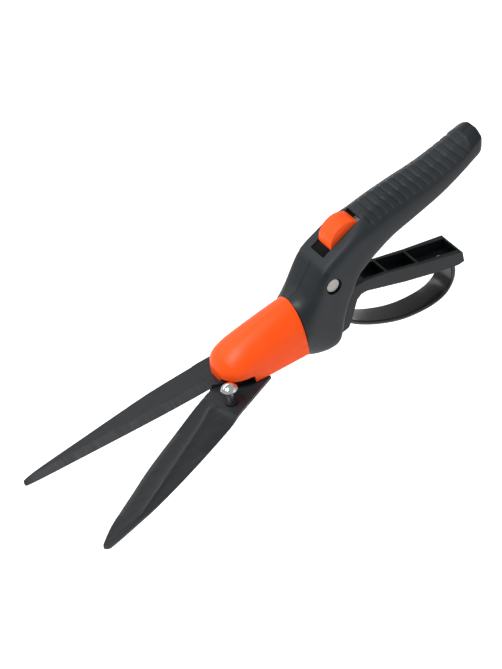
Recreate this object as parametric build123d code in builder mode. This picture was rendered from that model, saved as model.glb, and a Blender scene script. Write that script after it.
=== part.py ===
# One-handed grass shears with a rotating head, as an assembly of separate pieces.
# +X runs along the head's rotation axis from the blades to the handle, +Z is up.
# z = 0 is the flat underside of the base bracket; the head's axis lies AXIS_Z above it.
# The blades lie open, the lever is released and the lock slider is at its rear stop.
from build123d import *
from math import asin, cos, radians, sin
import os

os.makedirs("parts", exist_ok=True)

# ---------------------------------------------------------------- driving dimensions (mm)
AXIS_Z = 18.35              # head axis above the bracket's underside
RUN = 0.05                  # radial clearance of a running fit

BRACKET_T = 2.6
BLADE_T = 2.5
BLADE_GAP = 0.1             # free play above and below the moving blade
MOVING_Z = BRACKET_T + BLADE_GAP
FIXED_Z = MOVING_Z + BLADE_T + BLADE_GAP
SADDLE_Z = FIXED_Z + BLADE_T

PIVOT_X, PIVOT_Y = -8.2, -22.1
PIVOT_R = 2.3
PIN_HEAD_Z = AXIS_Z - 1.4
PIN_HEAD_R = 5.35
PIN_DOME_H = 3.1

STUD_ARM = 29.1             # drive stud to blade pivot
STUD_START = 25.0           # its bearing from +Y with the blades open, in degrees
BLADE_SWING = 32.6
STUD_R = 2.5
ROD_TRAVEL = STUD_ARM * (sin(radians(STUD_START + BLADE_SWING)) - sin(radians(STUD_START)))
STUD_BULGE = 0.77           # how far the stud leads the rod halfway through its swing
STUD_X = PIVOT_X + STUD_ARM * sin(radians(STUD_START))
STUD_Y = PIVOT_Y + STUD_ARM * cos(radians(STUD_START))

FULCRUM_X, FULCRUM_H = 78.4, 27.4     # lever fulcrum, its height given from the head axis
FULCRUM_R = 3.0
LEVER_SWING = 26.0
FORK_ARM = ROD_TRAVEL / (2 * sin(radians(LEVER_SWING / 2)))
FORK_TIP_R = 3.0
TIP_X = FULCRUM_X - FORK_ARM * sin(radians(LEVER_SWING / 2))
TIP_H = FULCRUM_H - FORK_ARM * cos(radians(LEVER_SWING / 2))

ROD_R = 2.5
SPINDLE_R = 7.0
SPINDLE_END = 65.0
FLANGE_X = 46.5
FLANGE_T = 3.8
DETENT_T = 3.2
DETENT_R = 12.2             # circle of the detents about the head axis
FLANGE_R = 14.8
COLLAR_X = 54.0             # front face of the handle's casing
COVER_REAR = 53.2
COVER_WALL = 2.0

CASE_HALF = 16.8
CASE_WALL = 2.6
GRIP_SKIN = 1.8
WINDOW_X, WINDOW_H = 94.1, 51.7       # middle of the slider's window on the top
WINDOW_TILT = 27.0
WINDOW_L, WINDOW_W = 33.7, 14.3
SLIDER_L, SLIDER_W = 24.4, 13.7
SLIDER_REST = 2.2           # how far behind the window's middle the slider rests
TOP_WALL = 3.9

LEVER_WALL = 1.9
STRAP_T = 3.0
STRAP_HALF = 8.7


def up(points):
    """Turn (x, height above the head axis) into coordinates of the XZ plane."""
    return [(x, h + AXIS_Z) for x, h in points]


def head_plane(x):
    """A plane across the head axis at x, looking along +X."""
    return Plane(origin=(x, 0, AXIS_Z), x_dir=(0, 1, 0), z_dir=(1, 0, 0))


def side_plane(x, h, y=0.0):
    """A plane with its normal along +Y, centred at (x, y, height above the axis)."""
    return Plane(origin=(x, y, h + AXIS_Z), x_dir=(1, 0, 0), z_dir=(0, 1, 0))


def top_plane(x, h, depth=0.0):
    """The plane of the sloping top at (x, h), sunk by depth; its x runs up the slope."""
    tilt = radians(WINDOW_TILT)
    normal = Vector(-sin(tilt), 0, cos(tilt))
    origin = Vector(x, 0, h + AXIS_Z) - normal * depth
    return Plane(origin=origin, x_dir=(cos(tilt), 0, sin(tilt)), z_dir=normal)


def save(piece, name):
    """Label a finished piece and write it as one STEP file."""
    piece.label = name
    export_step(piece, "parts/" + name + ".step")


# ---------------------------------------------------------------- handle casing
CASE_TOP = [(79, 44), (94, 51.7), (109.5, 59.4), (125, 64.4), (145, 67.2), (164, 70), (184, 75.4), (198, 80)]
CASE_TAIL = [(203, 78.5), (204.2, 70), (200, 64)]
CASE_BOTTOM = [(190, 60.5), (176, 54.5), (159, 48.7), (141, 44), (127, 39.2), (112, 31.5), (102, 25.5)]
CASE_REAR = [(97.5, 22.5), (92.5, 13), (86.2, 1), (81, -14), (77.5, -19.5), (71, -22)]
CASE_FRONT = [(COLLAR_X, -22), (COLLAR_X, 21.3), (62.3, 26.5), (68.9, 35), (73.5, 41)]
CAVITY = [(60, -19), (60, 18.5), (66, 25), (76.5, 38.5), (109, 55), (126, 60.5), (146, 63.2), (184, 71),
          (197, 75), (199.5, 69), (189, 65), (174, 59), (158, 52.8), (140, 48), (125, 43), (112, 36.5),
          (106, 32.5), (120, 18), (104, -8), (92, -32), (75, -32), (75, -19)]
GRIP_REGION = [(73, 92), (73, 41.8), (76, 38.6), (83.7, 35), (89.6, 33), (96.2, 33.4), (100.3, 34.9),
               (118, 43.6), (137, 52.3), (171, 62.3), (187, 67.8), (192.5, 80), (192.5, 92)]

with BuildPart() as casing:
    with BuildSketch(Plane.XZ):
        with BuildLine():
            Polyline(up(CASE_TOP + CASE_TAIL + CASE_BOTTOM + CASE_REAR + CASE_FRONT), close=True)
        make_face()
    extrude(amount=CASE_HALF, both=True)
    with BuildSketch(head_plane(COLLAR_X)):
        Circle(18.6)
    with BuildSketch(head_plane(COLLAR_X + 20)):
        Circle(17.5)
    loft()
    # The cavity is open at the rear underneath, where the lever comes out.
    with BuildSketch(Plane.XZ):
        with BuildLine():
            Polyline(up(CAVITY), close=True)
        make_face()
    extrude(amount=CASE_HALF - CASE_WALL, both=True, mode=Mode.SUBTRACT)
    with BuildSketch(side_plane(FULCRUM_X, FULCRUM_H)):
        Circle(7.5)
    extrude(amount=CASE_HALF - 1.0, both=True)
    with BuildSketch(side_plane(FULCRUM_X, FULCRUM_H)):
        Circle(10)
    extrude(amount=11.8, both=True, mode=Mode.SUBTRACT)
    with BuildSketch(side_plane(FULCRUM_X, FULCRUM_H)):
        Circle(FULCRUM_R)
    extrude(amount=CASE_HALF, both=True, mode=Mode.SUBTRACT)
    for side in (-1, 1):
        with BuildSketch(side_plane(FULCRUM_X, FULCRUM_H, side * (CASE_HALF - 2.4))):
            Circle(5.65)
        extrude(amount=side * 5, mode=Mode.SUBTRACT)
    with BuildSketch(head_plane(COLLAR_X - 1)):
        Circle(SPINDLE_R + RUN)
    extrude(amount=8, mode=Mode.SUBTRACT)
    with BuildSketch(head_plane(COLLAR_X)):
        with PolarLocations(DETENT_R, 2, start_angle=90, angular_range=360):
            Circle(2.1)
    extrude(amount=5, mode=Mode.SUBTRACT)
    with BuildSketch(top_plane(WINDOW_X, WINDOW_H, TOP_WALL + 1)):
        Rectangle(WINDOW_L, WINDOW_W)
    extrude(amount=30, mode=Mode.SUBTRACT)

with BuildPart() as grip_overmould:
    add(casing.part)
    with BuildSketch(Plane.XZ):
        with BuildLine():
            Polyline(up(GRIP_REGION), close=True)
        make_face()
    extrude(amount=2 * CASE_HALF, both=True, mode=Mode.INTERSECT)
    # Taking away the casing's core leaves a skin over the top and the sides.
    with BuildSketch(Plane.XZ):
        with BuildLine():
            Polyline(up(CASE_TOP + CASE_TAIL + CASE_BOTTOM + CASE_REAR + CASE_FRONT), close=True)
        make_face()
        offset(amount=-GRIP_SKIN, kind=Kind.INTERSECTION)
    extrude(amount=CASE_HALF - GRIP_SKIN, both=True, mode=Mode.SUBTRACT)
save(grip_overmould.part, "grip_overmould")

# Screw posts join the two shells; each half post meets the other at the parting plane.
POSTS = [(64.5, -14.5), (118, 50), (152, 57.5), (188, 68)]
with BuildPart() as shells:
    add(casing.part)
    add(grip_overmould.part, mode=Mode.SUBTRACT)
    for x, h in POSTS:
        with BuildSketch(side_plane(x, h)):
            Circle(3.4)
        extrude(amount=CASE_HALF - CASE_WALL + 0.5, both=True)
    for x, h in POSTS:
        with BuildSketch(side_plane(x, h, -9)):
            Circle(1.5)
        extrude(amount=18, mode=Mode.SUBTRACT)
        with BuildSketch(side_plane(x, h, 9)):
            Circle(3.0)
        extrude(amount=10, mode=Mode.SUBTRACT)

for name, side in (("body_shell_near", -1), ("body_shell_far", 1)):
    with BuildPart() as body_shell:
        add(shells.part)
        with BuildSketch(side_plane(128, 30)):
            Rectangle(200, 200)
        extrude(amount=side * 40, mode=Mode.INTERSECT)
    save(body_shell.part, name)

with BuildPart() as body_screws:
    for x, h in POSTS:
        with BuildSketch(side_plane(x, h, -8.5)):
            Circle(1.5)
        extrude(amount=17.5)
        with BuildSketch(side_plane(x, h, 9)):
            Circle(2.8)
        extrude(amount=2.2)
save(body_screws.part, "body_screws")

with BuildPart() as fulcrum_pin:
    with BuildSketch(side_plane(FULCRUM_X, FULCRUM_H, -(CASE_HALF - 2.4))):
        Circle(FULCRUM_R)
    extrude(amount=2 * CASE_HALF - 2.4 - 0.8)
    with BuildSketch(side_plane(FULCRUM_X, FULCRUM_H, -(CASE_HALF - 2.4))):
        Circle(4.4)
    extrude(amount=-0.9)
save(fulcrum_pin.part, "fulcrum_pin")

with BuildPart() as fulcrum_clip:
    with BuildSketch(side_plane(FULCRUM_X, FULCRUM_H, CASE_HALF - 2.4)):
        Circle(4.8)
        Circle(FULCRUM_R, mode=Mode.SUBTRACT)
    extrude(amount=0.7)
save(fulcrum_clip.part, "fulcrum_clip")

# ---------------------------------------------------------------- lock slider on the top
tilt_cos = cos(radians(WINDOW_TILT))
tilt_sin = sin(radians(WINDOW_TILT))
slider_x = WINDOW_X + SLIDER_REST * tilt_cos
slider_h = WINDOW_H + SLIDER_REST * tilt_sin

with BuildPart() as lock_slider:
    with BuildSketch(Plane(top_plane(slider_x, slider_h).origin, x_dir=(tilt_cos, 0, tilt_sin), z_dir=(0, -1, 0))):
        with BuildLine():
            Polyline((-SLIDER_L / 2, 0.4), (-SLIDER_L / 2, -TOP_WALL - 0.3), (SLIDER_L / 2, -TOP_WALL - 0.3),
                     (SLIDER_L / 2, 0.4))
            ThreePointArc((SLIDER_L / 2, 0.4), (0, 8.2), (-SLIDER_L / 2, 0.4))
        make_face()
    extrude(amount=SLIDER_W / 2, both=True)
    with BuildSketch(top_plane(slider_x, slider_h, TOP_WALL + 0.3)):
        Rectangle(SLIDER_L + 4, SLIDER_W + 5)
    extrude(amount=-1.4)
save(lock_slider.part, "lock_slider")

with BuildPart() as lock_latch:
    with BuildSketch(top_plane(slider_x - 8 * tilt_cos, slider_h - 8 * tilt_sin, TOP_WALL + 1.7)):
        Rectangle(6, 9)
    extrude(amount=-1.2)
    with BuildSketch(top_plane(slider_x - 8 * tilt_cos, slider_h - 8 * tilt_sin, TOP_WALL + 2.9)):
        Rectangle(1.6, 9)
    extrude(amount=-3.2)
save(lock_latch.part, "lock_latch")

with BuildPart() as slider_detent_spring:
    with BuildSketch(top_plane(WINDOW_X + 15 * tilt_cos, WINDOW_H + 15 * tilt_sin, TOP_WALL + 2.2)):
        Rectangle(9, 7)
    extrude(amount=-0.5)
save(slider_detent_spring.part, "slider_detent_spring")

# ---------------------------------------------------------------- lever with its finger guard
LEVER_SIDE = [(84.3, -19.4), (89.3, -18), (92.6, -12), (96, -4), (98, 0.4), (101.5, 3), (106, 3.2),
              (119, -0.8), (134, -5), (158, -10.4), (174, -12.9), (178.9, -12), (178.3, -4.3),
              (147.4, 2.4), (119.5, 9.4), (106, 11.6), (97.5, 11.3), (91.5, 17), (86, 26), (80, 34.5),
              (73, 31), (75.5, 21), (82, 8), (86, -1), (85, -10)]
LEVER_PLAN = [(70, -8.6), (122, -9.2), (148, -10.1), (180, -11.6), (180, 11.6), (148, 10.1), (122, 9.2), (70, 8.6)]
TROUGH_SIDE = [(106, 30), (106, 6), (120, 2), (134, -2.6), (158, -8), (176.8, -10.6), (176.8, 30)]
RIBS = [122.7, 146.1]
GUARD_SCREW_X = 167.0
fork_tilt = radians(LEVER_SWING / 2)

# A steel fork hangs from the lever's hub, with one round tip on each side of the pull rod.
with BuildPart() as drive_fork:
    for side in (-1, 1):
        tip = side_plane(TIP_X, TIP_H, side * 3.3)
        with BuildSketch(Plane(tip.origin, x_dir=(sin(fork_tilt), 0, cos(fork_tilt)), z_dir=(0, 1, 0))):
            Circle(FORK_TIP_R)
            Rectangle(22, 3.2, align=(Align.MIN, Align.CENTER))
        extrude(amount=side * 2.6)
    tip = side_plane(TIP_X, TIP_H)
    with BuildSketch(Plane(tip.origin, x_dir=(sin(fork_tilt), 0, cos(fork_tilt)), z_dir=(0, 1, 0))):
        with Locations((20.5, 0)):
            Rectangle(3, 3.2)
    extrude(amount=3.3, both=True)
save(drive_fork.part, "drive_fork")

with BuildPart() as lever:
    with BuildSketch(Plane.XZ):
        with BuildLine():
            Polyline(up(LEVER_SIDE), close=True)
        make_face()
    extrude(amount=14, both=True)
    with BuildSketch():
        with BuildLine():
            Polyline(LEVER_PLAN, close=True)
        make_face()
    extrude(amount=90, both=True, mode=Mode.INTERSECT)
    with BuildSketch(side_plane(FULCRUM_X, FULCRUM_H)):
        Circle(7.6)
    extrude(amount=11.5, both=True)
    # The trough between the walls is broken by cross ribs.
    trough_stops = [104] + RIBS + [178]
    for front, rear in zip(trough_stops[:-1], trough_stops[1:]):
        with BuildSketch(Plane.XZ):
            with BuildLine():
                Polyline(up(TROUGH_SIDE), close=True)
            make_face()
            with Locations(((front + rear) / 2, AXIS_Z)):
                Rectangle(rear - front - 1.6, 80, mode=Mode.INTERSECT)
        extrude(amount=8.6 - LEVER_WALL + (front - 104) * 0.02, both=True, mode=Mode.SUBTRACT)
    with BuildSketch(side_plane(FULCRUM_X, FULCRUM_H)):
        Circle(FULCRUM_R + RUN)
    extrude(amount=14, both=True, mode=Mode.SUBTRACT)
    with BuildSketch(Plane.XY.offset(AXIS_Z - 16)):
        with Locations((GUARD_SCREW_X, 0)):
            Circle(1.5)
    extrude(amount=9, mode=Mode.SUBTRACT)
    add(drive_fork.part, mode=Mode.SUBTRACT)
save(lever.part, "lever")

GUARD_LINE = [(88, -12.5), (97, -19.4), (108, -25.6), (120, -30.8), (132, -34), (144, -35),
              (156, -34.3), (164, -30.5), (169.2, -23.5), (171.6, -16), (171, -10)]
with BuildPart() as finger_guard:
    with BuildSketch(Plane.XZ):
        with BuildLine():
            Spline(up(GUARD_LINE))
        trace(line_width=STRAP_T)
        with BuildLine():
            Polyline(up([(160, -10), (160, -15.4), (172, -15.4), (172, -10)]), close=True)
        make_face()
        with BuildLine():
            Polyline(up(LEVER_SIDE), close=True)
        make_face(mode=Mode.SUBTRACT)
    extrude(amount=STRAP_HALF, both=True)
    with BuildSketch(Plane.XY.offset(AXIS_Z - 18)):
        with Locations((GUARD_SCREW_X, 0)):
            Circle(1.5)
    extrude(amount=9, mode=Mode.SUBTRACT)
save(finger_guard.part, "finger_guard")

with BuildPart() as guard_screw:
    with BuildSketch(Plane.XY.offset(AXIS_Z - 16.4)):
        with Locations((GUARD_SCREW_X, 0)):
            Circle(2.9)
    extrude(amount=1.0)
    with BuildSketch(Plane.XY.offset(AXIS_Z - 15.4)):
        with Locations((GUARD_SCREW_X, 0)):
            Circle(1.5)
    extrude(amount=6.5)
save(guard_screw.part, "guard_screw")

# ---------------------------------------------------------------- rotating head
SADDLE_T = 2.9
SADDLE_FRONT, SADDLE_HALF = 20.5, 14.0
RIVET_PLACES = [(34, -4.3), (34, 4.3), (41.5, -4.3), (41.5, 4.3)]
COVER_SCREW_PLACES = [(27.5, -10.5), (27.5, 10.5)]
COVER_BOSS = 14.5

with BuildPart() as head_frame:
    with BuildSketch(Plane.XY.offset(SADDLE_Z)):
        with Locations(((SADDLE_FRONT + FLANGE_X) / 2, 0)):
            Rectangle(FLANGE_X - SADDLE_FRONT, 2 * SADDLE_HALF)
    extrude(amount=SADDLE_T)
    with BuildSketch(head_plane(FLANGE_X)):
        Circle(FLANGE_R)
    extrude(amount=FLANGE_T)
    with BuildSketch(head_plane(FLANGE_X + FLANGE_T)):
        Circle(SPINDLE_R)
    extrude(amount=SPINDLE_END - FLANGE_X - FLANGE_T)
    with BuildSketch(head_plane(COLLAR_X + 6.15)):
        Circle(SPINDLE_R + 1)
        Circle(SPINDLE_R - 0.8, mode=Mode.SUBTRACT)
    extrude(amount=1.2, mode=Mode.SUBTRACT)
    with BuildSketch(head_plane(FLANGE_X)):
        Circle(ROD_R + RUN)
    extrude(amount=30, mode=Mode.SUBTRACT)
    with BuildSketch(Plane.XY.offset(SADDLE_Z)):
        with Locations(RIVET_PLACES):
            Circle(1.6)
        with Locations(COVER_SCREW_PLACES):
            Circle(1.5)
    extrude(amount=SADDLE_T, mode=Mode.SUBTRACT)
    with BuildSketch(Plane.XY.offset(SADDLE_Z)):
        with Locations(COVER_SCREW_PLACES):
            Circle(2.7)
    extrude(amount=1.6, mode=Mode.SUBTRACT)
save(head_frame.part, "head_frame")

with BuildPart() as detent_ring:
    with BuildSketch(head_plane(FLANGE_X + FLANGE_T)):
        Circle(FLANGE_R)
        Circle(SPINDLE_R, mode=Mode.SUBTRACT)
    extrude(amount=DETENT_T)
    with BuildSketch(head_plane(FLANGE_X + FLANGE_T + DETENT_T - 0.9)):
        with PolarLocations(DETENT_R, 8):
            Circle(1.7)
    extrude(amount=2, mode=Mode.SUBTRACT)
save(detent_ring.part, "detent_ring")

with BuildPart() as detent_plungers:
    for turn in (90, 270):
        with BuildSketch(head_plane(COLLAR_X - 0.3)):
            with PolarLocations(DETENT_R, 1, start_angle=turn):
                Circle(2.1)
        extrude(amount=2.4)
save(detent_plungers.part, "detent_plungers")

with BuildPart() as detent_springs:
    for turn in (90, 270):
        with BuildSketch(head_plane(COLLAR_X + 2.1)):
            with PolarLocations(DETENT_R, 1, start_angle=turn):
                Circle(1.9)
                Circle(1.2, mode=Mode.SUBTRACT)
        extrude(amount=2.9)
save(detent_springs.part, "detent_springs")

with BuildPart() as retaining_ring:
    with BuildSketch(head_plane(COLLAR_X + 6.15)):
        Circle(9.5)
        Circle(SPINDLE_R - 0.8, mode=Mode.SUBTRACT)
        with Locations((0, -8)):
            Rectangle(4, 8, mode=Mode.SUBTRACT)
    extrude(amount=1.2)
save(retaining_ring.part, "retaining_ring")

# The cover is a hood that slopes down to a blunt nose. Each cut across it is a half ellipse on straight sides.
# x, half width, height of the top
COVER_CUTS = [(COVER_REAR, 17.9, 20.8), (41.5, 17.9, 17.9), (26.8, 17.9, 13.9), (12.8, 17.6, 9.7), (4.8, 16.2, 6.3),
              (0, 13.6, 3.6), (-3, 8.4, 0.2), (-4.8, 3.6, -4.5)]
COVER_SPRING_H = -5.5       # where the straight sides start
NOSE_WALL = 1.8
FAR_CUT_H, NEAR_CUT_H, NOTCH_H = -10.35, -12.5, -7.2
NOTCH_REAR = 12.9
RIM_FRONT = 47.8
RIM_R, RIM_DROP = 17.9, 20.8


def cover_cut(x, half, top):
    """One cut across the hood, well below its lower edge."""
    side_h = COVER_SPRING_H + 16
    with BuildSketch(head_plane(x)) as sketch:
        with Locations((0, COVER_SPRING_H)):
            Ellipse(half, top - COVER_SPRING_H)
            with Locations((0, -50)):
                Rectangle(100, 100, mode=Mode.SUBTRACT)
        with Locations((0, COVER_SPRING_H - side_h / 2)):
            Rectangle(2 * half, side_h)
    return sketch.sketch


with BuildPart() as cover:
    loft([cover_cut(x, half, top) for x, half, top in COVER_CUTS], ruled=True)
    inner = [(max(x, COVER_CUTS[-1][0] + NOSE_WALL), half, top) for x, half, top in COVER_CUTS[:-1]]
    loft([cover_cut(x, half - COVER_WALL, top - COVER_WALL) for x, half, top in inner], ruled=True, mode=Mode.SUBTRACT)
    with BuildSketch(Plane.XY.offset(AXIS_Z + FAR_CUT_H)):
        with Locations((15, 5)):
            Rectangle(80, 41)
    extrude(amount=-30, mode=Mode.SUBTRACT)
    with BuildSketch(Plane.XY.offset(AXIS_Z + NEAR_CUT_H)):
        with Locations((15, 0)):
            Rectangle(80, 60)
    extrude(amount=-30, mode=Mode.SUBTRACT)
    with BuildSketch(Plane.XY.offset(AXIS_Z + NOTCH_H)):
        with BuildLine():
            Polyline((-12, -2), (0, -2), (NOTCH_REAR, -12), (NOTCH_REAR, -30), (-12, -30), close=True)
        make_face()
    extrude(amount=-10, mode=Mode.SUBTRACT)
    # The rim behind is a closed ring.
    with BuildSketch(head_plane(RIM_FRONT)):
        Ellipse(RIM_R, RIM_DROP)
        Ellipse(RIM_R - COVER_WALL, RIM_DROP - COVER_WALL, mode=Mode.SUBTRACT)
        with Locations((0, RIM_DROP)):
            Rectangle(2 * RIM_DROP, 2 * RIM_DROP - 2 * COVER_SPRING_H, mode=Mode.SUBTRACT)
    extrude(amount=COVER_REAR - RIM_FRONT)
    with BuildSketch(Plane.XY.offset(SADDLE_Z + SADDLE_T)):
        with Locations(COVER_SCREW_PLACES):
            Circle(3.0)
    extrude(amount=COVER_BOSS)
    with BuildSketch(Plane.XY.offset(SADDLE_Z)):
        with Locations(COVER_SCREW_PLACES):
            Circle(1.5)
    extrude(amount=14, mode=Mode.SUBTRACT)
save(cover.part, "cover")

with BuildPart() as cover_screws:
    with BuildSketch(Plane.XY.offset(SADDLE_Z)):
        with Locations(COVER_SCREW_PLACES):
            Circle(2.6)
    extrude(amount=1.6)
    with BuildSketch(Plane.XY.offset(SADDLE_Z + 1.6)):
        with Locations(COVER_SCREW_PLACES):
            Circle(1.5)
    extrude(amount=11.5)
save(cover_screws.part, "cover_screws")

# ---------------------------------------------------------------- blades
FIXED_OUTLINE = [(-144.3, -1.6), (-105, -3.0), (-60, -3.8), (-10.7, -3.3), (-5.5, -5.5), (2, -12), (44, -12),
                 (44, 15), (3.9, 20.5), (-46.4, 17.1), (-101.3, 9.1), (-134.5, 4.0), (-143.6, 1.0)]
MOVING_OUTLINE = [(-132.9, -76.0), (-121.6, -65.5), (-98.9, -51.3), (-77.5, -38.1), (-49.4, -23.1), (-13.1, -4.2),
                  (-4, 7), (3, 10.5), (10, 8.5), (15, 2), (24.3, -18.5), (-9.7, -34.1), (-18.2, -39.2),
                  (-56, -55.3), (-84.7, -66.2), (-113.3, -75.1), (-130.8, -78.9)]

HEEL_X = -10.7
BEVEL_W = 6.2

with BuildPart() as fixed_blade:
    with BuildSketch(Plane.XY.offset(FIXED_Z)):
        with BuildLine():
            Polyline(FIXED_OUTLINE, close=True)
        make_face()
        with Locations(RIVET_PLACES):
            Circle(1.6, mode=Mode.SUBTRACT)
        with Locations(COVER_SCREW_PLACES):
            Circle(2.9, mode=Mode.SUBTRACT)
        # An arc slot lets the drive stud swing through the blade.
        SlotArc(
            CenterArc((PIVOT_X, PIVOT_Y), STUD_ARM, 90 - STUD_START - BLADE_SWING - 2, BLADE_SWING + 4),
            height=2 * STUD_R + 1.2,
            mode=Mode.SUBTRACT,
        )
    extrude(amount=BLADE_T)
    # The ground bevel runs the whole cutting edge and ends squarely at the heel.
    with BuildSketch(Plane(origin=(HEEL_X, -3.6, FIXED_Z), x_dir=(0, 1, 0), z_dir=(-1, 0.013, 0))):
        with BuildLine():
            Polyline((-6, 0.4), (0, 0.4), (BEVEL_W, BLADE_T + 0.1), (-6, BLADE_T + 0.1), close=True)
        make_face()
    extrude(amount=140, mode=Mode.SUBTRACT)
save(fixed_blade.part, "fixed_blade")

with BuildPart() as moving_blade:
    with BuildSketch(Plane.XY.offset(MOVING_Z)):
        with BuildLine():
            Polyline(MOVING_OUTLINE, close=True)
        make_face()
        with Locations((PIVOT_X, PIVOT_Y)):
            Circle(PIVOT_R + RUN, mode=Mode.SUBTRACT)
        with Locations((STUD_X, STUD_Y)):
            Circle(1.8, mode=Mode.SUBTRACT)
    extrude(amount=BLADE_T)
save(moving_blade.part, "moving_blade")

with BuildPart() as pivot_bush:
    with BuildSketch(Plane.XY.offset(MOVING_Z + BLADE_T)):
        with Locations((PIVOT_X, PIVOT_Y)):
            Circle(4.2)
            Circle(PIVOT_R + RUN, mode=Mode.SUBTRACT)
    extrude(amount=1.2)
save(pivot_bush.part, "pivot_bush")

with BuildPart() as drive_stud:
    with BuildSketch(Plane.XY.offset(MOVING_Z)):
        with Locations((STUD_X, STUD_Y)):
            Circle(1.8)
    extrude(amount=BLADE_T)
    with BuildSketch(Plane.XY.offset(MOVING_Z + BLADE_T)):
        with Locations((STUD_X, STUD_Y)):
            Circle(STUD_R)
    extrude(amount=10)
save(drive_stud.part, "drive_stud")

PIN_PROFILE = [(PIVOT_X, 0), (PIVOT_X + 1.9, 0), (PIVOT_X + 1.9, BRACKET_T), (PIVOT_X + PIVOT_R, BRACKET_T),
               (PIVOT_X + PIVOT_R, MOVING_Z + BLADE_T + 1.3), (PIVOT_X + 3.0, PIN_HEAD_Z - 2.2),
               (PIVOT_X + PIN_HEAD_R - 0.9, PIN_HEAD_Z - 1.9), (PIVOT_X + PIN_HEAD_R, PIN_HEAD_Z - 0.4)]
# The head's dome is part of a sphere centred on the pin.
dome_top = PIN_HEAD_Z - 0.4 + PIN_DOME_H
dome_r = (PIN_HEAD_R**2 + PIN_DOME_H**2) / (2 * PIN_DOME_H)
dome_half = asin(PIN_HEAD_R / dome_r) / 2
with BuildPart() as pivot_pin:
    with BuildSketch(Plane.XZ.offset(-PIVOT_Y)):
        with BuildLine():
            Polyline(PIN_PROFILE)
            ThreePointArc(PIN_PROFILE[-1], (PIVOT_X + dome_r * sin(dome_half), dome_top - dome_r * (1 - cos(dome_half))),
                          (PIVOT_X, dome_top))
            Line((PIVOT_X, dome_top), PIN_PROFILE[0])
        make_face()
    revolve(axis=Axis((PIVOT_X, PIVOT_Y, 0), (0, 0, 1)))
save(pivot_pin.part, "pivot_pin")

BRACKET_REAR, BRACKET_HALF = 45.0, 7.0
SPACER_FRONT = 30.5

with BuildPart() as base_bracket:
    with BuildSketch():
        with Locations((PIVOT_X, PIVOT_Y)):
            Circle(6.3)
        with Locations((10, 0)):
            Rectangle(24, 2 * BRACKET_HALF)
        make_hull()
        with Locations((BRACKET_REAR / 2, 0)):
            Rectangle(BRACKET_REAR, 2 * BRACKET_HALF)
    extrude(amount=BRACKET_T)
    # A thicker rear end carries the fixed blade clear of the moving one.
    with BuildSketch(Plane.XY.offset(BRACKET_T)):
        with Locations(((SPACER_FRONT + BRACKET_REAR) / 2, 0)):
            Rectangle(BRACKET_REAR - SPACER_FRONT, 2 * BRACKET_HALF)
    extrude(amount=FIXED_Z - BRACKET_T)
    with BuildSketch():
        with Locations((PIVOT_X, PIVOT_Y)):
            Circle(1.9)
        with Locations(RIVET_PLACES):
            Circle(1.6)
    extrude(amount=FIXED_Z, mode=Mode.SUBTRACT)
save(base_bracket.part, "base_bracket")

with BuildPart() as blade_rivets:
    with BuildSketch():
        with Locations(RIVET_PLACES):
            Circle(1.6)
    extrude(amount=SADDLE_Z + SADDLE_T)
    with BuildSketch(Plane.XY.offset(SADDLE_Z + SADDLE_T)):
        with Locations(RIVET_PLACES):
            Circle(2.8)
    extrude(amount=1.1)
save(blade_rivets.part, "blade_rivets")

# ---------------------------------------------------------------- pull rod train
CROSSHEAD_Z = SADDLE_Z + SADDLE_T + 0.3
CROSSHEAD_T = 4.4
SLOT_X = STUD_X + STUD_BULGE / 2
SLOT_HALF = STUD_R + STUD_BULGE / 2 + 0.1
SLOT_Y_MIN, SLOT_Y_MAX = -9.4, 7.4
SPRING_FRONT, SPRING_REAR = 16.0, FLANGE_X - 0.3
SPRING_COIL_R, SPRING_WIRE_R = 4.7, 0.6
SPOOL_R, SPOOL_CORE_R, SPOOL_BORE_R = 5.5, 3.0, 1.8
SPOOL_GAP = FORK_TIP_R + 0.2
SPOOL_T = 2.0

with BuildPart() as crosshead:
    with BuildSketch(Plane.XY.offset(CROSSHEAD_Z)):
        with Locations((SLOT_X + 1.2, (SLOT_Y_MIN + SLOT_Y_MAX) / 2)):
            Rectangle(2 * SLOT_HALF + 5.2, SLOT_Y_MAX - SLOT_Y_MIN + 3.2)
        with Locations((SLOT_X, (SLOT_Y_MIN + SLOT_Y_MAX) / 2)):
            Rectangle(2 * SLOT_HALF, SLOT_Y_MAX - SLOT_Y_MIN, mode=Mode.SUBTRACT)
    extrude(amount=CROSSHEAD_T)
    with BuildSketch(head_plane(SLOT_X + SLOT_HALF + 0.6)):
        Circle(5.4)
        with Locations((0, -3.5)):
            Rectangle(10.8, 7)
        with Locations((0, -15)):
            Rectangle(20, 30 - 2 * (AXIS_Z - CROSSHEAD_Z), mode=Mode.SUBTRACT)
    extrude(amount=SPRING_FRONT - SLOT_X - SLOT_HALF - 0.6)
    with BuildSketch(head_plane(SLOT_X + SLOT_HALF + 3.2)):
        Circle(ROD_R)
    extrude(amount=20, mode=Mode.SUBTRACT)
save(crosshead.part, "crosshead")

with BuildPart() as pull_rod:
    with BuildSketch(head_plane(SLOT_X + SLOT_HALF + 3.2)):
        Circle(ROD_R)
    extrude(amount=TIP_X - SPOOL_GAP - SPOOL_T - SLOT_X - SLOT_HALF - 3.2)
    with BuildSketch(head_plane(TIP_X - SPOOL_GAP - SPOOL_T)):
        Circle(SPOOL_BORE_R)
    extrude(amount=2 * (SPOOL_GAP + SPOOL_T) + 2.4)
save(pull_rod.part, "pull_rod")

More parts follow.
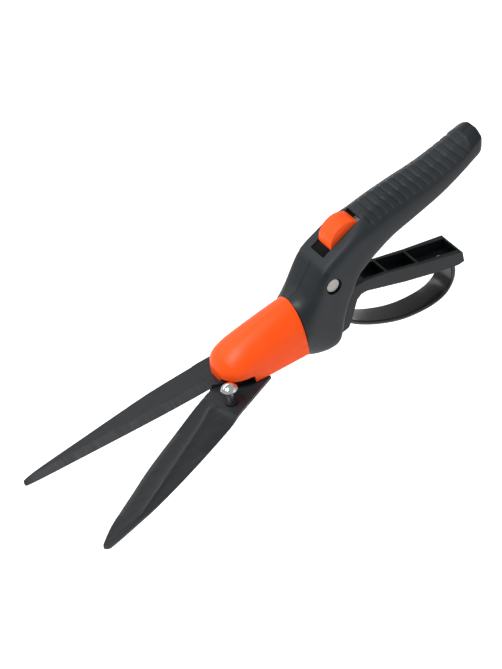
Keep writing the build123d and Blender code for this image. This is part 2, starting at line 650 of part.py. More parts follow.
with BuildPart() as rod_spool:
    with BuildSketch(head_plane(TIP_X - SPOOL_GAP - SPOOL_T)):
        Circle(SPOOL_R)
    extrude(amount=2 * (SPOOL_GAP + SPOOL_T))
    with BuildSketch(head_plane(TIP_X - SPOOL_GAP)):
        Circle(SPOOL_R + 1)
        Circle(SPOOL_CORE_R, mode=Mode.SUBTRACT)
    extrude(amount=2 * SPOOL_GAP, mode=Mode.SUBTRACT)
    with BuildSketch(head_plane(TIP_X - 20)):
        Circle(SPOOL_BORE_R)
    extrude(amount=40, mode=Mode.SUBTRACT)
save(rod_spool.part, "rod_spool")

with BuildPart() as rod_nut:
    with BuildSketch(head_plane(TIP_X + SPOOL_GAP + SPOOL_T)):
        RegularPolygon(3.4, 6)
        Circle(SPOOL_BORE_R, mode=Mode.SUBTRACT)
    extrude(amount=2.2)
save(rod_nut.part, "rod_nut")

SPRING_TURNS = 8
with BuildPart() as return_spring:
    with BuildLine():
        coil = Helix(
            pitch=(SPRING_REAR - SPRING_FRONT - 4 * SPRING_WIRE_R) / SPRING_TURNS,
            height=SPRING_REAR - SPRING_FRONT - 4 * SPRING_WIRE_R,
            radius=SPRING_COIL_R,
            center=(SPRING_FRONT + 2 * SPRING_WIRE_R, 0, AXIS_Z),
            direction=(1, 0, 0),
        )
    with BuildSketch(Plane(origin=coil @ 0, z_dir=coil % 0)):
        Circle(SPRING_WIRE_R)
    sweep(is_frenet=True)
save(return_spring.part, "return_spring")
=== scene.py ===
# %% [markdown]
# Grass shears with a rotating head. The packed model holds every part at its real size and place,
# and this script only dresses it. Parts whose plain shape is right keep it and get a finish. The
# moulded shells, the grip, the cover, the guard and the blades are built again, with the curves
# that a mould or a press gives them. Everything is in metres, +X towards the handle, +Z up.

# %% Load the fixed frame
import math

import bmesh
import bpy
import numpy as np
from mathutils import Matrix, Vector


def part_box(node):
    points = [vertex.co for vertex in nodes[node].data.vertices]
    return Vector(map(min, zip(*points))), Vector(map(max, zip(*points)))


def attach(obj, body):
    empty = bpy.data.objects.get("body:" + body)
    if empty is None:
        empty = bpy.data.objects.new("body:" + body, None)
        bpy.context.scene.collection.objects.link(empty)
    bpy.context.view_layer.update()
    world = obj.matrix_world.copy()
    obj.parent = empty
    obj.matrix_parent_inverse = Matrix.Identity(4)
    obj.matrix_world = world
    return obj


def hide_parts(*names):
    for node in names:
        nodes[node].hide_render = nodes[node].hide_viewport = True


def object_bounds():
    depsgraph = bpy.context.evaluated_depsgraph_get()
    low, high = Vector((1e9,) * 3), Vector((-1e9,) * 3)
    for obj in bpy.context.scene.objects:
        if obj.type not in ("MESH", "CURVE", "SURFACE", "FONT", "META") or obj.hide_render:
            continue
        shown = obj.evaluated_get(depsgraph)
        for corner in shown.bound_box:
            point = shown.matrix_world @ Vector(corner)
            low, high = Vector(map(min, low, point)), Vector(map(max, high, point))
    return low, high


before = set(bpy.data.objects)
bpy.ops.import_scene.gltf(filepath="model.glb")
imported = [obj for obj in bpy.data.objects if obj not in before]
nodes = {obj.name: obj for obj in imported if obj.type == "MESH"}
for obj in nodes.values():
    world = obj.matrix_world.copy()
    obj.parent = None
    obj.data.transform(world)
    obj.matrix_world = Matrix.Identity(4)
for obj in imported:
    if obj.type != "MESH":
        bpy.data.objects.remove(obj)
cad_low, cad_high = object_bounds()
MM = 0.001
spindle_low, spindle_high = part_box("head_frame")
AXIS_Z = (spindle_high[2] + spindle_low[2]) / 2
print("head axis height", round(AXIS_Z, 5))

# %% [markdown]
# The camera stands above the near side and looks along the tool from the blades' end. A long lens
# from over a metre and a half away keeps the near blade from looking too large. It could be placed
# by hand in the viewport. Turns about the head axis, a distance and two small shifts are used
# instead, because those are what one adjusts when framing a product, and they can be repeated.

# %% Camera
CAMERA_AZIMUTH = math.radians(26.58)
CAMERA_ELEVATION = math.radians(40.86)
CAMERA_ROLL = math.radians(9.99)
CAMERA_DISTANCE = 1.635
CAMERA_RIGHT, CAMERA_UP = 0.01893, 0.01727
LENS = 141.75


def add_camera():
    """A camera that looks at the head axis from the near side, rolled a little."""
    towards = Vector((-math.sin(CAMERA_AZIMUTH) * math.cos(CAMERA_ELEVATION),
                      -math.cos(CAMERA_AZIMUTH) * math.cos(CAMERA_ELEVATION),
                      math.sin(CAMERA_ELEVATION)))
    right = (-towards).cross(Vector((0, 0, 1))).normalized()
    up = right.cross(-towards)
    rolled_right = right * math.cos(CAMERA_ROLL) - up * math.sin(CAMERA_ROLL)
    rolled_up = right * math.sin(CAMERA_ROLL) + up * math.cos(CAMERA_ROLL)
    place = towards * CAMERA_DISTANCE + rolled_right * CAMERA_RIGHT + rolled_up * CAMERA_UP
    place.z += AXIS_Z
    turn = Matrix((rolled_right, rolled_up, towards)).transposed().to_4x4()
    data = bpy.data.cameras.new("camera")
    data.lens = LENS
    camera = bpy.data.objects.new("camera", data)
    camera.matrix_world = Matrix.Translation(place) @ turn
    bpy.context.collection.objects.link(camera)
    bpy.context.scene.camera = camera
    return place


print("camera stands at", [round(value, 3) for value in add_camera()])

# %% [markdown]
# Product light: one large soft panel high on the left, a weaker one on the right to open the
# shadows, and a narrow strip behind that draws bright lines along the black edges. An image of a
# studio could light it too, but panels can be moved one by one. The white surroundings do the rest,
# because dark glossy plastic shows little but what it reflects.

# %% Lights and surroundings
LIGHT_AIM = (0.03, 0, 0.02)
PANELS = [
    # name, place, width and height in metres, watts
    ("key_panel", (-0.45, 0.05, 1.0), (0.45, 0.45), 11.0),
    ("fill_panel", (0.8, -0.9, 0.5), (0.9, 0.6), 0.8),
    ("edge_strip", (-0.1, 0.9, 0.55), (1.2, 0.25), 2.5),
]
SURROUNDINGS_GLOW = 0.42


def add_panel(name, place, size, power):
    """A rectangular area light at a place, turned to face the tool."""
    data = bpy.data.lights.new(name, "AREA")
    data.shape = "RECTANGLE"
    data.size, data.size_y = size
    data.energy = power
    light = bpy.data.objects.new(name, data)
    light.location = place
    facing = Vector(place) - Vector(LIGHT_AIM)
    light.rotation_euler = facing.to_track_quat("Z", "Y").to_euler()
    bpy.context.collection.objects.link(light)


for panel in PANELS:
    add_panel(*panel)
world = bpy.data.worlds.new("studio")
bpy.context.scene.world = world
world.use_nodes = True
sky = world.node_tree.nodes["Background"]
sky.inputs["Color"].default_value = (1, 1, 1, 1)
sky.inputs["Strength"].default_value = SURROUNDINGS_GLOW
bpy.context.scene.view_settings.view_transform = "Standard"
print("lights", len(PANELS))

# %% [markdown]
# The floor is one wide sheet of matt white paper. It lies a hand's width below the tool, so that no
# dark contact shadow falls on it, and it glows a little, which keeps it white where the lights
# fade. A curved backdrop would hide the horizon as well, but the view from above never sees one.

# %% Floor
FLOOR_SIZE = 8
FLOOR_DROP = 0.12
PAPER_GLOW = 0.5


def add_floor():
    """A wide pale sheet below the lowest point of the tool."""
    height = cad_low[2] - FLOOR_DROP
    bpy.ops.mesh.primitive_plane_add(size=FLOOR_SIZE, location=(0, 0, height))
    sheet = bpy.context.object
    sheet.name = "floor"
    paper = bpy.data.materials.new("paper")
    paper.use_nodes = True
    shader = paper.node_tree.nodes["Principled BSDF"]
    shader.inputs["Base Color"].default_value = (0.9, 0.9, 0.9, 1)
    shader.inputs["Roughness"].default_value = 0.9
    shader.inputs["Emission Color"].default_value = (1, 1, 1, 1)
    shader.inputs["Emission Strength"].default_value = PAPER_GLOW
    sheet.data.materials.append(paper)
    return sheet


floor = add_floor()
print("floor height", round(floor.location.z, 4))

# %% [markdown]
# A material is a small sum: base colour, plus a little noise, times a mask. Drawn as nodes it is a
# tangle, so one class holds a socket and turns Python's + and * into Math nodes, and one method
# adds any other node by its type, what goes into its sockets and its settings.

# %% Shader arithmetic
class Wire:
    """One output socket that can be added and multiplied."""

    def __init__(self, tree, socket):
        self.tree = tree
        self.socket = socket

    def math(self, operation, *values):
        """A Math node on the values, in the order given."""
        node = self.tree.nodes.new("ShaderNodeMath")
        node.operation = operation
        for socket, value in zip(node.inputs, values):
            plug(self.tree, socket, value)
        return Wire(self.tree, node.outputs[0])

    def __add__(self, other):
        return self.math("ADD", self, other)

    def __mul__(self, other):
        return self.math("MULTIPLY", self, other)

    __radd__ = __add__
    __rmul__ = __mul__

    def clamped(self):
        """The value held between 0 and 1."""
        return self.math("MINIMUM", self.math("MAXIMUM", self, 0.0), 1.0)


def plug(tree, socket, value):
    """Links a wire to a socket, or sets the socket's own value."""
    if isinstance(value, Wire):
        tree.links.new(value.socket, socket)
    elif isinstance(value, tuple) and len(value) == 3 and len(socket.default_value) == 4:
        socket.default_value = (*value, 1.0)
    else:
        socket.default_value = value


print("a wire can", [name for name in vars(Wire) if not name.startswith("_")])

# %% [markdown]
# A finish is one material with its shader. Every finish below starts from the same two moves, so they
# are methods: noise in the object's own space, and a colour that follows it. Nodes could be copied
# from a finished material instead, but then a later change has to be made in every copy.

# %% A finish and its nodes
# The Mix node has a set of sockets for each kind of data; these are the colour ones.
MIX_LOW, MIX_HIGH, MIX_RESULT = 6, 7, 2
BUMP_DISTANCE = 0.0002


class Finish:
    """A material whose nodes are added by type, and whose shader is set by socket name."""

    def __init__(self, name, colour, roughness, **fixed):
        self.material = bpy.data.materials.new(name)
        self.material.use_nodes = True
        self.material.diffuse_color = (*colour, 1.0)
        self.tree = self.material.node_tree
        self.shader = self.tree.nodes["Principled BSDF"]
        self.put("Base Color", colour)
        self.put("Roughness", roughness)
        for socket, value in fixed.items():
            self.put(socket.replace("_", " "), value)
        self.place = self.node("ShaderNodeTexCoord", out="Object")

    def put(self, socket, value):
        """Sets or links one socket of the finish's shader."""
        plug(self.tree, self.shader.inputs[socket], value)

    def node(self, kind, sockets=(), settings=(), out=0):
        """Adds a node of a type: its settings are set first, then its sockets by name or number."""
        node = self.tree.nodes.new(kind)
        for key, value in dict(settings).items():
            setattr(node, key, value)
        for key, value in dict(sockets).items():
            plug(self.tree, node.inputs[key], value)
        return Wire(self.tree, node.outputs[out])

    def grain(self, scale, detail=2.0, stretch=(1, 1, 1)):
        """Noise of a scale in cells per metre, which may be stretched along an axis."""
        vector = self.node("ShaderNodeMapping", {"Vector": self.place, "Scale": stretch})
        sockets = {"Vector": vector, "Scale": scale, "Detail": detail}
        return self.node("ShaderNodeTexNoise", sockets, out="Fac")

    def between(self, low, high, mask):
        """A colour that goes from low to high with a mask."""
        sockets = {"Factor": mask, MIX_LOW: low, MIX_HIGH: high}
        return self.node("ShaderNodeMix", sockets, {"data_type": "RGBA"}, MIX_RESULT)

    def bump(self, height, strength, distance=BUMP_DISTANCE):
        """Raises or lowers the lit surface by a height map."""
        sockets = {"Height": height, "Strength": strength, "Distance": distance}
        self.put("Normal", self.node("ShaderNodeBump", sockets))


print("a finish can", [name for name in vars(Finish) if not name.startswith("_")])

# %% [markdown]
# Moulded charcoal plastic has a fine spark-eroded grain, so its highlights are wide and slightly
# broken. The overmould is softer and a little lighter. Orange parts are smoother, with a faint
# orange peel. Scanned images could give all this, but noise at the scale of the real surface has
# no seams and no limit of detail. Only colour, roughness and bump vary.

# %% Plastics and rubber
CLOUD_SCALE = 38.0
CLOUD_SHARE, GRAIN_SHARE = 0.14, 0.08
WEAR_LIFT, WEAR_SHADE = 0.004, 0.6


def moulded(name, colour, roughness, grain_size, depth, wear=0.25, gloss=0.24):
    """Moulded plastic with fine grain and a little handling wear."""
    finish = Finish(name, colour, roughness, Specular_IOR_Level=gloss)
    cloud = finish.grain(CLOUD_SCALE, 4.0)
    fine = finish.grain(1.0 / grain_size, 3.0)
    lighter = tuple(min(1.0, channel * (1 + wear) + WEAR_LIFT) for channel in colour)
    darker = tuple(channel * (1 - wear * WEAR_SHADE) for channel in colour)
    finish.put("Base Color", finish.between(darker, lighter, cloud))
    smoothest = roughness - (CLOUD_SHARE + GRAIN_SHARE) / 2
    finish.put("Roughness", (cloud * CLOUD_SHARE + fine * GRAIN_SHARE + smoothest).clamped())
    finish.bump(fine, depth)
    return finish.material


shell_plastic = moulded("shell_plastic", (0.0105, 0.0140, 0.0168), 0.42, 0.00045, 0.22)
lever_plastic = moulded("lever_plastic", (0.0095, 0.0120, 0.0138), 0.40, 0.00045, 0.2)
grip_rubber = moulded("grip_rubber", (0.0155, 0.0195, 0.0235), 0.54, 0.00035, 0.35, 0.3)
guard_plastic = moulded("guard_plastic", (0.009, 0.010, 0.011), 0.20, 0.0012, 0.05, 0.15, 0.45)
frame_plastic = moulded("frame_plastic", (0.008, 0.009, 0.010), 0.5, 0.0005, 0.2)
orange_plastic = moulded("orange_plastic", (0.96, 0.083, 0.003), 0.42, 0.0009, 0.05, 0.05, 0.22)
print("shell plastic has", len(shell_plastic.node_tree.nodes), "nodes")

# %% [markdown]
# Bare metal shows how it was made. Turned, drawn and plated steel has fine streaks along the way
# the tool ran, so the noise is squeezed across that direction. A brushed image would do the same on
# a flat part, but noise in the object's own space also goes round pins and wires.

# %% Metals
STREAK_SHARE = 0.16
STREAK_DISTANCE = 0.00008
SPOT_SHADE = 0.8


def steel(name, colour, roughness):
    """Steel with fine streaks along X."""
    finish = Finish(name, colour, roughness, Metallic=1.0)
    streaks = finish.grain(160.0, detail=3.0, stretch=(1, 14, 14))
    spots = finish.grain(420.0)
    darker = tuple(channel * SPOT_SHADE for channel in colour)
    finish.put("Base Color", finish.between(darker, colour, spots))
    finish.put("Roughness", (streaks * STREAK_SHARE + (roughness - STREAK_SHARE / 2)).clamped())
    finish.bump(streaks, strength=0.12, distance=STREAK_DISTANCE)
    return finish.material


bright_steel = steel("bright_steel", (0.86, 0.87, 0.88), 0.16)
zinc_steel = steel("zinc_steel", (0.58, 0.59, 0.6), 0.34)
pale_steel = steel("pale_steel", (0.40, 0.385, 0.36), 0.46)
spring_steel = steel("spring_steel", (0.42, 0.42, 0.44), 0.28)
print("steels", [metal.name for metal in (bright_steel, zinc_steel, pale_steel, spring_steel)])

# %% [markdown]
# The blades carry a dark coating over rolled steel, so long faint streaks run along them under
# small dull specks. Their edge was ground afterwards: the wheel cut fine lines across the bevel and
# laid the steel half bare. Each could be a painted image, but the same noise does for both, drawn
# out along the blade for the streaks and across it for the wheel's lines.

# %% Blade finishes
FINE_WEIGHT, COARSE_WEIGHT = 0.6, 0.4
SPECK_SHARE, COATING_SMOOTHEST = 0.10, 0.26
LINE_SHARE, BEVEL_SMOOTHEST = 0.25, 0.27


def coated_blade(name):
    """Dark coating over rolled steel: long faint streaks and small dull specks."""
    finish = Finish(name, (0.018, 0.021, 0.023), 0.4, Metallic=0.2, Specular_IOR_Level=0.35)
    streaks = finish.grain(70.0, detail=4.0, stretch=(1, 9, 9))
    specks = finish.grain(900.0, detail=3.0)
    dark, light = (0.011, 0.013, 0.015), (0.025, 0.028, 0.031)
    finish.put("Base Color", finish.between(dark, light, streaks))
    dull = streaks * STREAK_SHARE + specks * SPECK_SHARE + COATING_SMOOTHEST
    finish.put("Roughness", dull.clamped())
    relief = specks * FINE_WEIGHT + streaks * COARSE_WEIGHT
    finish.bump(relief, strength=0.10, distance=0.0001)
    return finish.material


def ground_bevel(name):
    """Half-bare steel with the wheel's fine lines across it."""
    finish = Finish(name, (0.085, 0.09, 0.095), 0.38, Metallic=0.6)
    lines = finish.grain(1500.0, stretch=(1, 0.04, 0.04))
    bands = finish.grain(110.0, stretch=(1, 0.2, 0.2))
    dark, light = (0.018, 0.020, 0.022), (0.085, 0.090, 0.096)
    bare = lines * FINE_WEIGHT + bands * COARSE_WEIGHT
    finish.put("Base Color", finish.between(dark, light, bare))
    finish.put("Roughness", (lines * LINE_SHARE + BEVEL_SMOOTHEST).clamped())
    finish.bump(lines, strength=0.45, distance=0.00012)
    return finish.material


blade_coating = coated_blade("blade_coating")
bevel_steel = ground_bevel("bevel_steel")
print("blade finishes", blade_coating.name, bevel_steel.name)

# %% [markdown]
# The hidden and plain pieces keep their packed shape. Each gets the finish of its real counterpart,
# and the larger ones an edge radius of a few tenths of a millimetre, because no moulded edge is
# truly sharp, and the thin highlight on it is what makes a part look real. The radius could be cut
# into the mesh, but a bevel modifier leaves the packed mesh alone.

# %% Finishes for the packed nodes
FINISH_OF = {
    "body_shell_near": shell_plastic, "body_shell_far": shell_plastic,
    "grip_overmould": grip_rubber, "body_screws": zinc_steel, "fulcrum_pin": pale_steel,
    "fulcrum_clip": zinc_steel, "detent_plungers": bright_steel, "detent_springs": spring_steel,
    "slider_detent_spring": spring_steel, "lock_slider": orange_plastic, "lock_latch": zinc_steel,
    "lever": lever_plastic, "drive_fork": zinc_steel, "finger_guard": guard_plastic,
    "guard_screw": zinc_steel, "head_frame": frame_plastic, "detent_ring": frame_plastic,
    "retaining_ring": spring_steel, "cover": orange_plastic, "cover_screws": zinc_steel,
    "fixed_blade": blade_coating, "base_bracket": blade_coating, "blade_rivets": zinc_steel,
    "pivot_pin": bright_steel, "return_spring": spring_steel, "moving_blade": blade_coating,
    "pivot_bush": frame_plastic, "drive_stud": zinc_steel, "pull_rod": zinc_steel,
    "crosshead": frame_plastic, "rod_spool": zinc_steel, "rod_nut": zinc_steel,
}
EDGE_RADIUS = {"lever": 0.0005, "base_bracket": 0.0003, "head_frame": 0.0004, "crosshead": 0.0003}


def round_edges(piece, radius, degrees, segments=2):
    """A bevel on every edge that is sharper than an angle."""
    rounding = piece.modifiers.new("edge", "BEVEL")
    rounding.width = radius
    rounding.segments = segments
    rounding.limit_method = "ANGLE"
    rounding.angle_limit = math.radians(degrees)


for name, material in FINISH_OF.items():
    nodes[name].data.materials.clear()
    nodes[name].data.materials.append(material)
    if name in EDGE_RADIUS:
        round_edges(nodes[name], EDGE_RADIUS[name], degrees=35)
print("finished nodes", len(FINISH_OF))

# %% [markdown]
# Shell work needs three tools: a curve through a few points, a skin stretched over rows of points,
# and a way to cut one solid with another. A subdivided cage could shape the parts too, but it pulls
# away from the points it is given. The curve here is a Catmull-Rom spline, which passes through its
# points, so a measured point stays where it was put.

# %% Curves
def through(points, per_span):
    """A smooth curve through the points, along the first axis of an array."""
    points = np.asarray(points, float)
    ends = np.concatenate([2 * points[:1] - points[1:2], points, 2 * points[-1:] - points[-2:-1]])
    found = []
    for i in range(len(points) - 1):
        a, b, c, d = ends[i:i + 4]
        for step in range(per_span):
            t = step / per_span
            found.append(0.5 * (2 * b + (c - a) * t + (2 * a - 5 * b + 4 * c - d) * t**2
                                + (3 * b - a - 3 * c + d) * t**3))
    found.append(points[-1])
    return np.array(found)


print("a curve through (0, 0), (1, 1), (2, 0)", through([(0, 0), (1, 1), (2, 0)], 2).tolist())

# %% [markdown]
# A skin is a grid of points with a face in every gap. When each row is a closed ring and both ends
# have a cap, it is a solid, and only a solid can be cut or be a cutter. Primitives could be scaled
# and moved into place too, but a list of rings says the shape itself.

# %% Skins and solids
def at(x, y, h):
    """A point in metres, from millimetres and a height above the head axis."""
    return x * MM, y * MM, h * MM + AXIS_Z


def new_piece(name, vertices, faces, *materials):
    """A mesh object from points in metres, with its materials."""
    mesh = bpy.data.meshes.new(name)
    mesh.from_pydata([tuple(map(float, v)) for v in vertices], [], faces)
    for material in materials:
        mesh.materials.append(material)
    piece = bpy.data.objects.new(name, mesh)
    bpy.context.collection.objects.link(piece)
    work = bmesh.new()
    work.from_mesh(mesh)
    bmesh.ops.recalc_face_normals(work, faces=work.faces)
    work.to_mesh(mesh)
    work.free()
    return piece


def skin_faces(rows, columns):
    """Quads over rows of closed rings."""
    return [(r * columns + c, r * columns + (c + 1) % columns,
             (r + 1) * columns + (c + 1) % columns, (r + 1) * columns + c)
            for r in range(rows - 1) for c in range(columns)]


def strip_faces(rows, columns):
    """Quads over rows of open lines."""
    return [(r * columns + c, r * columns + c + 1, (r + 1) * columns + c + 1, (r + 1) * columns + c)
            for r in range(rows - 1) for c in range(columns - 1)]


def closed_skin(name, rings, *materials):
    """A solid through closed rings of points in metres, with a cap on each end."""
    count, last = len(rings[0]), len(rings[0]) * (len(rings) - 1)
    faces = skin_faces(len(rings), count)
    faces += [tuple(range(count)), tuple(last + c for c in range(count - 1, -1, -1))]
    return new_piece(name, [point for ring in rings for point in ring], faces, *materials)


def prism(name, side_points, half_width):
    """A block with an outline in side view, given in mm with heights from the head axis."""
    vertices = [at(x, y, h) for y in (-half_width, half_width) for x, h in side_points]
    n = len(side_points)
    faces = [tuple(range(n)), tuple(range(2 * n - 1, n - 1, -1))] + skin_faces(2, n)
    return new_piece(name, vertices, faces)


print("faces over 3 rings of 4 points", len(skin_faces(3, 4)))

# %% [markdown]
# Cutting is the boolean modifier with its exact solver. The fast one is quicker, but it drops faces
# where two skins run close together, as they do along the grip's seam. The cut is applied at once,
# so the next one starts from a plain mesh.

# %% Cuts, copies and shading
def apply_all(piece):
    """Turns a piece's modifiers into mesh."""
    graph = bpy.context.evaluated_depsgraph_get()
    mesh = bpy.data.meshes.new_from_object(piece.evaluated_get(graph))
    piece.modifiers.clear()
    piece.data = mesh


def cut(piece, tool, operation="DIFFERENCE"):
    """Cuts or trims a solid with another solid, which is used up."""
    step = piece.modifiers.new("cut", "BOOLEAN")
    step.operation = operation
    step.solver = "EXACT"
    step.object = tool
    apply_all(piece)
    bpy.data.objects.remove(tool)


def copy_of(piece, name):
    """A second object with its own mesh."""
    twin = piece.copy()
    twin.data = piece.data.copy()
    twin.name = name
    bpy.context.collection.objects.link(twin)
    return twin


def smooth(piece, degrees):
    """Smooth shading except across edges sharper than an angle."""
    for polygon in piece.data.polygons:
        polygon.use_smooth = True
    piece.data.set_sharp_from_angle(angle=math.radians(degrees))


def dress(piece, body, slot_name, *replaced):
    """Hands a finished piece to its body and hides the nodes it stands for."""
    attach(piece, body)
    if replaced:
        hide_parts(*replaced)
    print(piece.name, len(piece.data.vertices), "points")


# %% [markdown]
# The handle is one long bent form: round where it meets the head, flat-sided at the hump, and
# roofed like a low gable along the grip, where the hand closes over it. It could be sculpted, but
# a list of stations is easier to correct. Each station is a cut through the handle: its top and
# bottom points in side view, its half width and how its outline runs.

# %% Outlines and stations of the handle
ROUND_ANGLES = (0, 20, 38, 54, 72, 92, 114, 134, 150, 166, 180)
ROUND = [(math.sin(math.radians(a)), math.cos(math.radians(a))) for a in ROUND_ANGLES]
SLAB = [(0, 1), (0.45, 0.99), (0.80, 0.955), (0.93, 0.86), (1.0, 0.68), (1.0, 0.1), (1.0, -0.5),
        (0.97, -0.84), (0.82, -0.98), (0.4, -1), (0, -1)]
GABLE = [(0, 1), (0.36, 0.975), (0.64, 0.74), (0.90, 0.47), (0.975, 0.30), (1.0, 0.0),
         (0.99, -0.45), (0.94, -0.8), (0.78, -0.97), (0.4, -1), (0, -1)]
STATIONS = [
    # top x, top h, bottom x, bottom h, half width, outline, second outline, share of the second
    (53.6, 20.6, 53.6, -22.8, 18.2, ROUND, SLAB, 0.0),
    (57.6, 22.4, 61.0, -23.6, 18.0, ROUND, SLAB, 0.4),
    (62.6, 26.2, 71.0, -22.8, 17.6, ROUND, SLAB, 0.8),
    (68.4, 33.6, 78.6, -18.6, 17.2, SLAB, GABLE, 0.0),
    (72.8, 39.6, 83.4, -5.0, 16.8, SLAB, GABLE, 0.0),
    (78.6, 44.0, 87.6, 5.0, 16.6, SLAB, GABLE, 0.0),
    (86.0, 48.0, 92.5, 13.4, 16.4, SLAB, GABLE, 0.05),
    (95.0, 52.7, 97.8, 22.2, 16.2, SLAB, GABLE, 0.15),
    (103.5, 57.0, 105.0, 27.4, 16.0, SLAB, GABLE, 0.45),
    (112.0, 60.8, 115.0, 32.8, 15.7, SLAB, GABLE, 0.85),
    (126.0, 64.4, 128.0, 38.7, 15.3, SLAB, GABLE, 1.0),
    (145.0, 66.7, 146.0, 44.0, 15.0, SLAB, GABLE, 1.0),
    (164.0, 69.1, 166.0, 49.7, 14.1, SLAB, GABLE, 1.0),
    (183.0, 74.1, 183.0, 56.4, 13.0, SLAB, GABLE, 1.0),
    (195.0, 78.4, 193.2, 61.0, 12.0, SLAB, GABLE, 0.9),
    (201.4, 79.8, 199.6, 63.8, 10.9, SLAB, GABLE, 0.8),
    (203.2, 77.4, 202.2, 67.0, 8.6, SLAB, GABLE, 0.8),
]
# The last two stations close in too fast to be drawn in evenly, so a core stops before them.
CORE_STATIONS = STATIONS[:-2]


def half_ring(station, inset):
    """One side of a station's outline, as (x, y, height) in millimetres."""
    top_x, top_h, low_x, low_h, half, first, second, mix = station
    middle = np.array([(top_x + low_x) / 2, (top_h + low_h) / 2])
    reach = np.array([top_x - low_x, top_h - low_h]) / 2
    reach *= 1 - inset / np.linalg.norm(reach)
    half -= inset
    ring = np.array(first) * (1 - mix) + np.array(second) * mix
    side = middle + ring[:, 1:2] * reach
    return np.stack([side[:, 0], ring[:, 0] * half, side[:, 1]], axis=1)


print("stations", len(STATIONS), "from x", STATIONS[0][0], "to", STATIONS[-1][0], "mm")

# %% [markdown]
# The thumb and palm rest on shallow steps across the grip's roof. They are real height in the mesh,
# because a bump map would leave the outline straight. Each step rises slowly and drops in a rounded
# groove, sweeps back towards the sides, and fades out before the crease.

# %% Ribs across the grip
RIB_START, RIB_END, RIB_PITCH, RIB_DEPTH = 111.5, 193.0, 5.45, 0.9
RIB_STRAIGHT, RIB_SWEEP = 5.0, 0.42
GROOVE_START, GROOVE_SHARE = 0.62, 0.65
ROOF_HALF, ROOF_FADE = 13.4, 1.6
START_FADE, END_FADE = 1.5, 2.0


def rib_height(rings):
    """How far each point of the rings moves out, in mm: zero away from the ribs."""
    x, y = rings[:, :, 0], rings[:, :, 1]
    bend = np.clip(np.abs(y) - RIB_STRAIGHT, 0, None) * RIB_SWEEP
    phase = (x - RIB_START - bend) / RIB_PITCH
    tooth = phase - np.floor(phase)
    dip = np.sin((tooth - GROOVE_START) / (1 - GROOVE_START) * np.pi)**2
    groove = np.where(tooth > GROOVE_START, dip, 0)
    step = (GROOVE_SHARE - 1) * tooth - GROOVE_SHARE * groove
    roof = np.clip((ROOF_HALF - np.abs(y)) / ROOF_FADE, 0, 1)
    above = rings[:, :, 2] > rings[:, :, 2].mean(axis=1, keepdims=True)
    started = np.clip((x - RIB_START) / START_FADE, 0, 1)
    inside = started * np.clip((RIB_END - x) / END_FADE, 0, 1)
    return step * RIB_DEPTH * roof * above * inside


print("ribs", round((RIB_END - RIB_START) / RIB_PITCH), "each", RIB_DEPTH, "mm deep")

# %% [markdown]
# The outer surface is a skin through all the stations. Both shells and the grip are cut from it, so
# they meet without a step. They could be modelled one by one, but then their edges would have to be
# matched by eye. Only the grip's copy has the ribs, and needs many more rows to show them.

# %% The handle's skin
ROWS_PER_SPAN, RIBBED_ROWS, COLUMNS_PER_SPAN = 12, 34, 7


def handle_rings(inset, ribs, stations):
    """Closed rings of points along the handle, drawn in by inset millimetres."""
    control = np.array([half_ring(station, inset) for station in stations])
    rows = through(control, RIBBED_ROWS if ribs else ROWS_PER_SPAN)
    halves = through(rows.transpose(1, 0, 2), COLUMNS_PER_SPAN).transpose(1, 0, 2)
    mirrored = halves[:, -2:0:-1] * np.array([1, -1, 1])
    rings = np.concatenate([halves, mirrored], axis=1)
    if ribs:
        outward = rings - rings.mean(axis=1, keepdims=True)
        outward /= np.linalg.norm(outward, axis=2, keepdims=True)
        rings = rings + outward * rib_height(rings)[:, :, None]
    return rings


def handle_solid(name, *materials, inset=0.0, ribs=False, stations=STATIONS):
    """A closed solid of the handle's outer form."""
    rings = handle_rings(inset, ribs, stations)
    rows, columns = rings.shape[:2]
    vertices = rings.reshape(-1, 3) * MM
    vertices[:, 2] += AXIS_Z
    faces = skin_faces(rows, columns)
    faces.append(tuple(range(columns - 1, -1, -1)))
    faces.append(tuple((rows - 1) * columns + c for c in range(columns)))
    return new_piece(name, vertices, faces, *materials)


print("rows, points in a row", handle_rings(0.0, True, STATIONS).shape[:2])

# %% [markdown]
# The soft grip is moulded over the shells after they are closed, so it wraps over the top without
# a parting line and ends in a clean seam. It could be a separate thin sheet, but a sheet has no
# inside. It is cut from the outer form with a block whose lower edge is that seam, and stands a
# quarter of a millimetre proud, which gives the seam its shadow.

# %% Soft grip
GRIP_REGION = [(73.2, 110), (73.2, 41.8), (76, 38.8), (79.5, 36.6), (83.7, 35), (89.6, 33.1),
               (96.2, 33.6), (100.3, 35.0), (118, 43.6), (137, 52.0), (155, 57.6), (171, 62.3),
               (187, 67.6), (191.8, 71.5), (193.8, 78), (193.8, 110)]
GRIP_REGION_HALF = 40
GRIP_PROUD, GRIP_CORE = 0.25, 1.7
WINDOW = dict(x=94.1, h=51.7, tilt=math.radians(27.0), length=33.7, width=14.3)
WINDOW_REACH = 30.0


def on_slope(along, across, lift):
    """A point in metres, from distances along, across and square to the window's slope."""
    c, s = math.cos(WINDOW["tilt"]), math.sin(WINDOW["tilt"])
    return at(WINDOW["x"] + along * c - lift * s, across, WINDOW["h"] + along * s + lift * c)


def window_block(name):
    """A block that stands in the slider's window, square to the sloping top."""
    a, b = WINDOW["length"] / 2, WINDOW["width"] / 2
    corners = ((-a, -b), (a, -b), (a, b), (-a, b))
    vertices = [on_slope(*corner, lift) for lift in (-WINDOW_REACH, WINDOW_REACH)
                for corner in corners]
    faces = [(0, 1, 2, 3), (7, 6, 5, 4), (0, 4, 5, 1), (1, 5, 6, 2), (2, 6, 7, 3), (3, 7, 4, 0)]
    return new_piece(name, vertices, faces)


